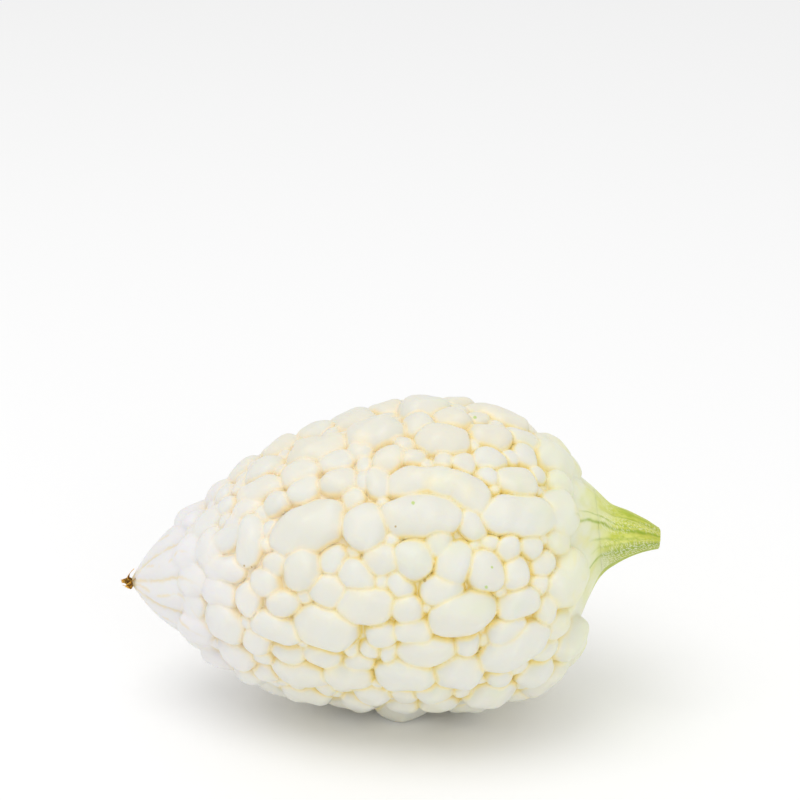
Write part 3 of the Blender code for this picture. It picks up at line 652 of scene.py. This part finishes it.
def fruit_mesh(warts):
    """The warty skin, with the numbers by which its finish finds the grooves."""
    bm = thinned(*surface_net(skin_grid(warts)), SKIN_TRIANGLES)
    points = np.array([vertex.co for vertex in bm.verts])
    for vertex, place in zip(bm.verts, Skin(warts, points).settled(points)):
        vertex.co = place
    cut_flat(bm, (SEAM, 0, 0), (1, 0, 0))
    cut_flat(bm, (0, 0, 0), (-1, 0, 0))
    bmesh.ops.transform(bm, matrix=to_row_frame(), verts=bm.verts[:])
    cut_flat(bm, (0, 0, 0), (0, 0, -1))
    mesh = bpy.data.meshes.new("warty_skin")
    bm.to_mesh(mesh)
    bm.free()
    points = axis_places(mesh)
    skin = Skin(warts, points)
    outwards = skin.outwards(points)
    keep_places(mesh, points)
    for name, reach in (("groove", GROOVE_FELT), ("cleft", CLEFT_FELT)):
        keep(mesh, name, 1 - skin.distance(points + reach * outwards) / reach)
    keep(mesh, "tint", skin.tints(points))
    keep(mesh, "crease", skin.creases(points))
    shade(mesh, outwards)
    return mesh


def turned(station, angle, radius):
    """Points at a radius from the axis's middle."""
    return np.stack([station, -radius * np.sin(angle), axis_rise(station) + radius * np.cos(angle)], axis=-1)


def stalk_rings(warts):
    """Rings of points round the stalk from the seam to its cut end, with fine striae along it."""
    angle = np.linspace(0, 2 * math.pi, STALK_ROUND, endpoint=False)
    end = STALK_END - CUT_SLOPE * (axis_rise(STALK_END) + floor_radius(STALK_END) * np.cos(angle))
    station = SEAM + np.linspace(0, 1, STALK_ROWS)[:, None] * (end - SEAM)
    angle = np.broadcast_to(angle, station.shape)
    points = turned(station, angle, floor_radius(station) + rib_relief(station, angle)).reshape(-1, 3)
    skin = Skin(warts, points)
    points = skin.settled(points)
    twist = STRIA_COUNT * angle.ravel() + STRIA_WANDER * np.sin(points[:, 0] / STRIA_WAVE)
    stria = np.sin(twist) + 0.5 * np.sin(2.3 * twist + points[:, 0] / 1.7)
    height = STRIA_HEIGHT * eased(points[:, 0], *STRIA_FADE) * stria
    points = points + height[:, None] * skin.outwards(points)
    return points.reshape(*station.shape, 3)


def cut_rings(rim):
    """Rings inwards from the stalk's rim, in a low dome."""
    middle = rim.mean(axis=0)
    for share in CUT_RINGS:
        bulge = CUT_BULGE * (1 - share**2) ** 0.5
        yield middle + (rim - middle) * share + np.array([bulge, 0, bulge * CUT_SLOPE])


def stalk_mesh(warts):
    """The ribbed stalk, closed at the seam and at its cut end."""
    rings = stalk_rings(warts)
    rings = np.concatenate([rings, list(cut_rings(rings[-1]))])
    number = np.arange(len(rings) * STALK_ROUND).reshape(len(rings), STALK_ROUND)
    after = np.roll(number, -1, axis=1)
    quads = np.stack([number[:-1], after[:-1], after[1:], number[1:]], axis=-1).reshape(-1, 4)
    mesh = bpy.data.meshes.new("ribbed_stalk")
    mesh.from_pydata(rings.reshape(-1, 3).tolist(), [], quads.tolist())
    bm = bmesh.new()
    bm.from_mesh(mesh)
    close_holes(bm)
    bmesh.ops.recalc_face_normals(bm, faces=bm.faces[:])
    bmesh.ops.transform(bm, matrix=to_row_frame(), verts=bm.verts[:])
    bm.to_mesh(mesh)
    bm.free()
    keep_places(mesh, axis_places(mesh))
    inwards = np.concatenate([np.zeros(STALK_ROWS), 1 - np.array(CUT_RINGS)])
    keep(mesh, "cut", np.repeat(inwards, STALK_ROUND))
    mesh.shade_smooth()
    return mesh


# Finishes

class Value:
    """A socket of a material's node, for sums that are written with Python's signs."""

    def __init__(self, finish, socket):
        self.finish = finish
        self.socket = socket

    def __add__(self, other):
        return self.finish.maths("ADD", self, other)

    def __sub__(self, other):
        return self.finish.maths("SUBTRACT", self, other)

    def __rsub__(self, other):
        return self.finish.maths("SUBTRACT", other, self)

    def __mul__(self, other):
        return self.finish.maths("MULTIPLY", self, other)

    def __truediv__(self, other):
        return self.finish.maths("DIVIDE", self, other)

    def __rtruediv__(self, other):
        return self.finish.maths("DIVIDE", other, self)

    def __pow__(self, other):
        return self.finish.maths("POWER", self, other)

    __radd__ = __add__
    __rmul__ = __mul__


class Finish:
    """A material, and short ways to add its nodes."""

    def __init__(self, name):
        self.material = bpy.data.materials.new(name)
        self.material.use_nodes = True
        self.tree = self.material.node_tree
        self.shader = self.tree.nodes["Principled BSDF"]

    def feed(self, socket, value):
        """Links a value to a socket, or sets the socket to a plain number or colour."""
        if isinstance(value, Value):
            self.tree.links.new(value.socket, socket)
        else:
            socket.default_value = value

    def add(self, kind, settings, sockets, output=0):
        """Adds a node: its settings first, then its sockets' values or links."""
        node = self.tree.nodes.new(kind)
        for name, setting in settings.items():
            setattr(node, name, setting)
        for socket, value in sockets.items():
            self.feed(node.inputs[socket], value)
        return Value(self, node.outputs[output])

    def maths(self, operation, *terms):
        return self.add("ShaderNodeMath", {"operation": operation}, dict(enumerate(terms)))

    def greater(self, first, second):
        return self.maths("MAXIMUM", first, second)

    def bell(self, value):
        """1 where the value is 0, falling smoothly to nothing at about 2 on either side."""
        return self.maths("EXPONENT", 0 - value**2)

    def eased(self, value, start, end):
        """0 before start, 1 after end, and a smooth step between."""
        sockets = {"Value": value, "From Min": start, "From Max": end}
        return self.add("ShaderNodeMapRange", {"interpolation_type": "SMOOTHSTEP"}, sockets, "Result")

    def kept(self, name, output="Fac"):
        """What the mesh keeps under that name."""
        return self.add("ShaderNodeAttribute", {"attribute_name": name}, {}, output)

    def parts(self, place):
        return [self.add("ShaderNodeSeparateXYZ", {}, {0: place}, axis) for axis in "XYZ"]

    def joined(self, x, y, z):
        return self.add("ShaderNodeCombineXYZ", {}, {0: x, 1: y, 2: z})

    def noise(self, place, size, detail=2.0):
        """Cloudy noise with lumps of about that many millimetres."""
        return self.add("ShaderNodeTexNoise", {}, {"Vector": place, "Scale": 1 / size, "Detail": detail})

    def stray(self, place, size, reach, detail=2.0):
        """Noise about 0, by which an edge or a line strays."""
        return (self.noise(place, size, detail) - 0.5) * reach

    def mix(self, share, first, second):
        return self.add("ShaderNodeMix", {"data_type": "RGBA"}, {0: share, 6: first, 7: second}, 2)

    def coat(self, colour, roughness):
        """Gives the surface its colour and roughness."""
        self.feed(self.shader.inputs["Base Color"], colour)
        self.feed(self.shader.inputs["Roughness"], roughness)

    def bump(self, height, depth):
        """Bumps where height goes from 0 to 1 over depth millimetres."""
        normal = self.add("ShaderNodeBump", {}, {"Height": height, "Distance": depth * MM}, "Normal")
        self.feed(self.shader.inputs["Normal"], normal)

    def glow(self):
        """The light that soaks a little way into living skin."""
        self.shader.inputs["Subsurface Weight"].default_value = GLOW
        self.shader.inputs["Subsurface Radius"].default_value = GLOW_DEPTHS
        self.shader.inputs["Subsurface Scale"].default_value = GLOW_DEPTH * MM


def from_axis(finish, front, height):
    """How far a point is from the axis, never quite nothing, and its angle round it in radians."""
    radius = finish.maths("SQRT", front * front + height * height)
    return finish.greater(radius, LEAST_RADIUS), finish.maths("ARCTAN2", front, height)


def seen_from_front(front, height):
    """How far up a point is as the front is seen, and how far it is towards that side."""
    across, up = math.cos(math.radians(FRONT)), math.sin(math.radians(FRONT))
    return height * up - front * across, front * up + height * across


def veins(finish, place):
    """The share of dark green along the veins of the stalk and shoulder."""
    station, front, height = finish.parts(place)
    radius, angle = from_axis(finish, front, height)
    spread = finish.eased(station, *VEINS_SPREAD)
    wander = finish.stray(place, VEIN_WANDER_SIZE, VEIN_WANDER)
    total = 0
    for at_stalk, at_shoulder, start, half, strength in VEINS:
        middle = math.radians(at_stalk) + spread * math.radians(at_shoulder - at_stalk)
        line = finish.bell(((angle - middle) * radius + wander) / half)
        total = finish.greater(total, line * finish.eased(station, start, start + VEIN_FADE) * strength)
    patches = finish.eased(finish.noise(place, VEIN_PATCH_SIZE, detail=3), *VEIN_PATCH_LEVELS)
    return total * (VEIN_LEAST + patches * (1 - VEIN_LEAST))


def stalk_greens(finish, station, angle, streak_place, streaks):
    """The stalk's green in streaks, darker underneath, along its crest and towards the cut."""
    colour = finish.mix(finish.eased(streaks, *STREAK_LEVELS), STALK_PALE, STALK_GREEN)
    fine = finish.eased(finish.noise(streak_place, FINE_SHARE), *FINE_LEVELS)
    fine = fine * finish.eased(station, *FINE_STATIONS)
    colour = finish.mix(fine * FINE_STRENGTH, colour, VEIN_GREEN)
    colour = finish.mix(finish.eased(station, *END_STATIONS) * END_STRENGTH, colour, STALK_END_GREEN)
    under = finish.eased(angle, *UNDER_ANGLES) * finish.eased(station, *UNDER_STATIONS)
    colour = finish.mix(under * UNDER_STRENGTH, colour, STALK_UNDER)
    crest = finish.bell((angle - CREST_ANGLE) / CREST_HALF) * finish.eased(station, *CREST_STATIONS)
    return finish.mix(crest * CREST_STRENGTH, colour, VEIN_GREEN)


def with_greens(finish, place, colour):
    """The colour, and over it the greens of shoulder and stalk, the same on both sides of the seam."""
    station, front, height = finish.parts(place)
    radius, angle = from_axis(finish, front, height)
    streak_place = finish.joined(station / STREAK_LENGTH, front / radius, height / radius)
    streaks = finish.noise(streak_place, STREAK_SHARE, detail=3)
    strayed = station + finish.stray(place, FADE_STRAY_SIZE, FADE_STRAY, detail=3)
    shoulder = finish.greater(finish.eased(strayed, *SHOULDER_FADE), finish.eased(station, *SEAM_FADE))
    yellow = finish.eased(streaks, *YELLOW_LEVELS) * finish.eased(station, *YELLOW_STATIONS)
    shoulder_green = finish.mix(yellow * YELLOW_STRENGTH, SHOULDER_GREEN, SHOULDER_YELLOW)
    colour = finish.mix(shoulder, colour, shoulder_green)
    flush = stalk_greens(finish, station, angle * math.degrees(1), streak_place, streaks)
    colour = finish.mix(finish.eased(strayed, *FLUSH_FADE), colour, flush)
    return finish.mix(veins(finish, place), colour, VEIN_GREEN)


def dots(finish, place, rows):
    """The share of small round dots with a slightly wavy edge."""
    station, front, height = finish.parts(place)
    up, near = seen_from_front(front, height)
    wobble = finish.stray(place, DOT_WOBBLE_SIZE, DOT_WOBBLE, detail=1)
    total = 0
    for at, high, half in rows:
        apart = finish.maths("SQRT", (station - at) ** 2 + (up - high) ** 2) / half + wobble
        total = finish.greater(total, finish.eased(apart, *DOT_EDGE))
    return total * finish.eased(near, *DOT_SIDE)


def tip_lines(finish, place):
    """The share of cream along the wavy grooves that run back from the tip, and between them."""
    station, front, height = finish.parts(place)
    radius, angle = from_axis(finish, front, height)
    long, short = RIB_MEANDER_LENGTHS
    meander = finish.maths("SINE", station / long) + finish.maths("SINE", station / short + angle)
    phase = (angle * math.degrees(1) - RIB_ANGLE + meander * RIB_MEANDER) / RIB_STEP
    rib_width = radius * math.radians(RIB_STEP)
    off_groove = (finish.maths("FRACT", phase) - 0.5) * rib_width
    off_groove = off_groove + finish.stray(place, TIP_STRAY_SIZE, TIP_STRAY)
    off_crest = (finish.maths("FRACT", phase + 0.5 + meander * TIP_SIDE_STRAY) - 0.5) * rib_width
    in_groove = finish.bell(off_groove / TIP_LINE_WIDTH)
    in_groove = in_groove * finish.eased(finish.noise(place, TIP_BREAK_SIZE), *TIP_BREAK_LEVELS)
    on_crest = finish.bell(off_crest / TIP_LINE_WIDTH) * TIP_SIDE_STRENGTH
    on_crest = on_crest * finish.eased(finish.noise(place, TIP_SIDE_SIZE), *TIP_SIDE_LEVELS)
    return finish.greater(in_groove, on_crest) * finish.eased(station, *TIP_LINES_FADE)


def wart_whites(finish, place, station, up, body):
    """The white of the warts: each has its own tint, with painted warm reflected light making the upper side
    cream, and green towards the stalk.
    """
    colour = finish.mix(body, TIP_WHITE, WART_WHITE)
    # Painted reflected light: the upper side of the warts is made a warmer cream
    colour = finish.mix(finish.eased(up, *REFLECTION_UPWARDS) * REFLECTION_STRENGTH * body, colour, UPPER_REFLECTION_CREAM)
    tint = finish.kept("tint") + finish.noise(place, CLOUD_SIZE, detail=3) * CLOUD_STRENGTH
    colour = finish.mix(finish.eased(tint, *COOL_TINTS) * COOL_STRENGTH, colour, WART_COOL)
    green = finish.eased(finish.noise(place, GREEN_SIZE), *GREEN_LEVELS)
    green = green * finish.eased(station, *GREEN_STATIONS)
    return finish.mix(green * GREEN_STRENGTH, colour, WART_GREEN)


def with_hollow_shade_glow(finish, station, up, body, in_groove, colour):
    """The colour, and over it painted shade and warm glow, cream or gold, in the grooves and clefts and along
    the creases.
    """
    groove, crease = finish.kept("groove"), finish.kept("crease")
    in_cleft = finish.eased(finish.kept("cleft"), *CLEFT_LEVELS)
    creased = finish.eased(station, *CREASES_BEGIN) * finish.eased(station, *CREASES_END)
    # Painted shade: a warm cream rim along each crease, towards each wart's edge
    rim = finish.maths("EXPONENT", 0 - crease / RIM_SHADE_WIDTH) * creased * finish.eased(groove, *RIM_SHADE_LEVELS)
    line = finish.bell(crease / LINE_WIDTH) * creased * finish.eased(groove, *LINE_LEVELS)
    golden = finish.eased(station - up, *GOLDEN_STATIONS)
    # Painted shade and warm glow in the shallow grooves and the deep clefts
    shallow_shade_glow = finish.greater(rim * RIM_SHADE_STRENGTH, in_groove * GROOVE_SHADE_GLOW_STRENGTH)
    colour = finish.mix(shallow_shade_glow, colour, finish.mix(golden, GROOVE_SHADE_GLOW_CREAM, GROOVE_SHADE_GLOW_GOLD))
    deep_shade_glow = finish.mix(body, TIP_SHADE_GLOW_CREAM, finish.mix(golden, CLEFT_SHADE_GLOW_CREAM, CLEFT_SHADE_GLOW_GOLD))
    colour = finish.mix(in_cleft * CLEFT_SHADE_GLOW_STRENGTH, colour, deep_shade_glow)
    # Painted warm glow along the fine line of each crease
    line = line * (CREASE_SHADE_GLOW_STRENGTH + in_cleft * CREASE_SHADE_GLOW_IN_CLEFT)
    return finish.mix(line, colour, finish.mix(golden, CREASE_SHADE_GLOW_PEACH, CREASE_SHADE_GLOW_GOLD))


def white_skin():
    """Waxy white, with painted shade and warm glow down in the grooves, cooler at the tip and green towards
    the stalk.
    """
    finish = Finish("white_skin")
    place = finish.kept("place", "Vector")
    station, front, height = finish.parts(place)
    up = seen_from_front(front, height)[0]
    body = finish.eased(station, *BODY_FROM_TIP)
    in_groove = finish.eased(finish.kept("groove"), *GROOVE_LEVELS)
    colour = wart_whites(finish, place, station, up, body)
    colour = with_hollow_shade_glow(finish, station, up, body, in_groove, colour)
    colour = finish.mix(tip_lines(finish, place) * TIP_LINE_STRENGTH, colour, TIP_LINE)
    stain = finish.eased(station, *TIP_STAIN_STATIONS) * TIP_STAIN_STRENGTH
    colour = with_greens(finish, place, finish.mix(stain, colour, TIP_BROWN))
    colour = finish.mix(dots(finish, place, GREEN_DOTS) * DOT_STRENGTH, colour, DOT_GREEN)
    colour = finish.mix(dots(finish, place, BROWN_SPECKS) * SPECK_STRENGTH, colour, SPECK_BROWN)
    clouds = finish.noise(place, SKIN_ROUGH_SIZE, detail=3) * SKIN_ROUGH_CLOUDS
    finish.coat(colour, SKIN_ROUGHNESS + clouds + in_groove * SKIN_ROUGH_GROOVES)
    finish.glow()
    fine = finish.noise(place, SKIN_FINE_SIZE, detail=3) * SKIN_FINE_SHARE
    finish.bump(fine + finish.noise(place, SKIN_BUMP_SIZE), SKIN_BUMPS)
    return finish.material


def pale_flecks(finish, place):
    """The share of fine pale flecks, thick along one flank of the stalk and in patches elsewhere."""
    station, front, height = finish.parts(place)
    radius, angle = from_axis(finish, front, height)
    fleck_place = finish.joined(station / FLECK_LENGTH, angle * radius / FLECK_WIDTH, 0.0)
    cells = {"Vector": fleck_place, "Scale": 1.0}
    apart = finish.add("ShaderNodeTexVoronoi", {"voronoi_dimensions": "2D"}, cells, "Distance")
    patch_place = finish.joined(station / FLECK_PATCH_LENGTH, front / radius, height / radius)
    patches = finish.eased(finish.noise(patch_place, FLECK_PATCH_SHARE), *FLECK_PATCH_LEVELS)
    flank = finish.bell((angle * math.degrees(1) - FLECKED_FLANK) / FLECKED_HALF)
    thick = finish.greater(patches * FLECK_PATCH, flank) * finish.eased(station, *FLECKED_STATIONS)
    return finish.eased(apart, *FLECK_EDGE) * thick


def green_stalk():
    """Pale to olive green, veined, with fine pale flecks and a drier cut end."""
    finish = Finish("green_stalk")
    place, cut = finish.kept("place", "Vector"), finish.kept("cut")
    flecks = pale_flecks(finish, place)
    colour = with_greens(finish, place, SHOULDER_GREEN)
    colour = finish.mix(flecks * FLECK_STRENGTH, colour, FLECK_WHITE)
    inwards = cut + finish.stray(place, PITH_STRAY_SIZE, PITH_STRAY, detail=3)
    pith = finish.mix(finish.eased(inwards, *PITH_EDGE), CUT_GREEN, CUT_PITH)
    colour = finish.mix(finish.eased(cut, *CUT_EDGE), colour, pith)
    clouds = finish.noise(place, STALK_ROUGH_SIZE, detail=3) * STALK_ROUGH_CLOUDS
    finish.coat(colour, STALK_ROUGHNESS + clouds)
    finish.glow()
    fine = finish.noise(place, STALK_BUMP_SIZE, detail=3)
    finish.bump(fine + flecks * STALK_FLECK_BUMP, STALK_BUMPS)
    return finish.material


def dried_brown():
    """Dark brown, with golden edges."""
    finish = Finish("brown_dried_flower")
    place, edge = finish.kept("place", "Vector"), finish.kept("edge")
    mottle = finish.noise(place, MOTTLE_SIZE, detail=4)
    colour = finish.mix(finish.eased(mottle, *MOTTLE_LEVELS), DRIED_BLACK, DRIED_BROWN)
    golden = finish.eased(edge + (mottle - 0.5) * MOTTLE_STRAY, *GOLD_EDGE)
    finish.coat(finish.mix(golden, colour, DRIED_GOLD), DRIED_ROUGHNESS + mottle * DRIED_ROUGH_MOTTLE)
    finish.bump(mottle, DRIED_BUMPS)
    return finish.material


# The dried flower

def strip(bm, edge, line, width, sides, gold):
    """A thin strip of faces along a line, widest near its middle, that keeps how near its edge a point is."""
    rows = []
    for index, (centre, side) in enumerate(zip(line, sides)):
        share = index / (len(line) - 1)
        swell = math.sin(math.pi * min(share * STRIP_SWELL, 1) ** 0.8)
        half = width * (STRIP_LEAST + (1 - STRIP_LEAST) * swell) / 2
        row = []
        for across in np.linspace(-1, 1, PETAL_COLUMNS):
            sag = PETAL_SAG * width * (1 - across**2)
            vertex = bm.verts.new(centre + side * across * half + Vector((sag, 0, 0)))
            vertex[edge] = gold * max(abs(across), share) ** 3
            row.append(vertex)
        rows.append(row)
    for low, high in zip(rows, rows[1:]):
        for a, b, c, d in zip(low, low[1:], high[1:], high):
            bm.faces.new((a, b, c, d))


def petal_line(rng, around, length, lean, curl):
    """A petal's middle line from the tip outwards, and the directions across it."""
    out = Vector((0, -math.sin(around), math.cos(around)))
    across = Vector((-1, 0, 0)).cross(out)
    place = out * PETAL_FOOT_RADIUS + Vector((PETAL_FOOT_STATION, 0, 0))
    line, sides = [], []
    twist, phase = rng.uniform(*PETAL_TWIST), rng.uniform(0, 6)
    for row in range(PETAL_ROWS):
        share = row / (PETAL_ROWS - 1)
        bend = lean + curl * share + PETAL_WAVE * math.sin(5 * share + phase)
        way = Vector((-math.cos(bend), 0, 0)) + out * math.sin(bend)
        place = place + way * (length / PETAL_ROWS)
        turn = twist * share
        line.append(place + across * PETAL_STRAY * math.sin(7 * share + phase))
        sides.append((across * math.cos(turn) + way.cross(across) * math.sin(turn)).normalized())
    return line, sides


def thread_line(start, end, bow):
    """The line of a thread that curls up from beside the petals, and the directions across it."""
    shares = np.linspace(0, 1, THREAD_ROWS)
    line = [start.lerp(end, share) + bow * math.sin(math.pi * share) for share in shares]
    return line, [Vector((math.cos(2 * share), math.sin(2 * share), 0)) for share in shares]


def flower_mesh():
    """Shrivelled petals round the withered tip, with two thin curved threads."""
    rng = np.random.default_rng(SEED)
    bm = bmesh.new()
    edge = bm.verts.layers.float.new("edge")
    for petal in range(PETALS):
        around = 2 * math.pi * (petal + rng.uniform(-0.3, 0.3)) / PETALS
        length, width = rng.uniform(*PETAL_LENGTH), rng.uniform(*PETAL_WIDTH)
        line, sides = petal_line(rng, around, length, rng.uniform(*PETAL_LEAN), rng.uniform(*PETAL_CURL))
        strip(bm, edge, line, width, sides, PETAL_GOLD)
    for vertex in bm.verts:
        vertex.co += Vector(rng.normal(0, PETAL_CRUMPLE, 3))
    for start, end, bow, width in THREADS:
        line, sides = thread_line(start, end, bow)
        strip(bm, edge, line, width, sides, THREAD_GOLD)
    bmesh.ops.solidify(bm, geom=bm.faces[:], thickness=PETAL_THICKNESS)
    bmesh.ops.recalc_face_normals(bm, faces=bm.faces[:])
    bmesh.ops.transform(bm, matrix=to_row_frame(), verts=bm.verts[:])
    mesh = bpy.data.meshes.new("dried_petals")
    bm.to_mesh(mesh)
    bm.free()
    keep_places(mesh, axis_places(mesh))
    mesh.shade_smooth()
    return mesh


# The floor, the light and the camera

def pale_floor():
    bpy.ops.mesh.primitive_plane_add(size=FLOOR_SIZE)
    plane = bpy.context.object
    plane.name = "floor"
    finish = Finish("pale_floor")
    finish.coat(FLOOR_WHITE, FLOOR_ROUGHNESS)
    finish.shader.inputs["Specular IOR Level"].default_value = 0
    plane.data.materials.append(finish.material)


def soft_box(name, place, size, power, middle):
    light = bpy.data.lights.new(name, "AREA")
    light.shape = "DISK"
    light.size = size
    light.energy = power
    lamp = bpy.data.objects.new(name, light)
    lamp.location = place
    lamp.rotation_euler = (middle - lamp.location).to_track_quat("-Z", "Y").to_euler()
    bpy.context.scene.collection.objects.link(lamp)


def daylight():
    world = bpy.data.worlds.new("soft_daylight")
    world.use_nodes = True
    background = world.node_tree.nodes["Background"]
    background.inputs["Color"].default_value = (1, 1, 1, 1)
    background.inputs["Strength"].default_value = SKY
    bpy.context.scene.world = world


def photo_camera(middle):
    """The camera at the photograph's angle: straight in front of the melon, looking down on it."""
    rise = math.radians(CAMERA_RISE)
    back = Vector((0, -math.cos(rise), math.sin(rise)))
    up = Vector((0, math.sin(rise), math.cos(rise)))
    camera = bpy.data.objects.new("camera", bpy.data.cameras.new("camera"))
    camera.data.lens = CAMERA_LENS
    camera.location = middle + CAMERA_DISTANCE * back
    aim = middle + Vector((AIM_RIGHT, 0, 0)) + AIM_UP * up
    camera.rotation_euler = (aim - camera.location).to_track_quat("-Z", "Y").to_euler()
    bpy.context.scene.collection.objects.link(camera)
    bpy.context.scene.camera = camera


# The whole melon

warts = all_warts()
shown("warty_skin", fruit_mesh(warts), white_skin(), "fruit")
shown("ribbed_stalk", stalk_mesh(warts), green_stalk(), "stalk")
shown("dried_petals", flower_mesh(), dried_brown(), "dried_flower")

middle = (Vector(solid_box[0]) + Vector(solid_box[1])) / 2
pale_floor()
daylight()
for light in SOFT_BOXES:
    soft_box(*light, middle)
photo_camera(middle)
bpy.context.scene.view_settings.view_transform = "Standard"
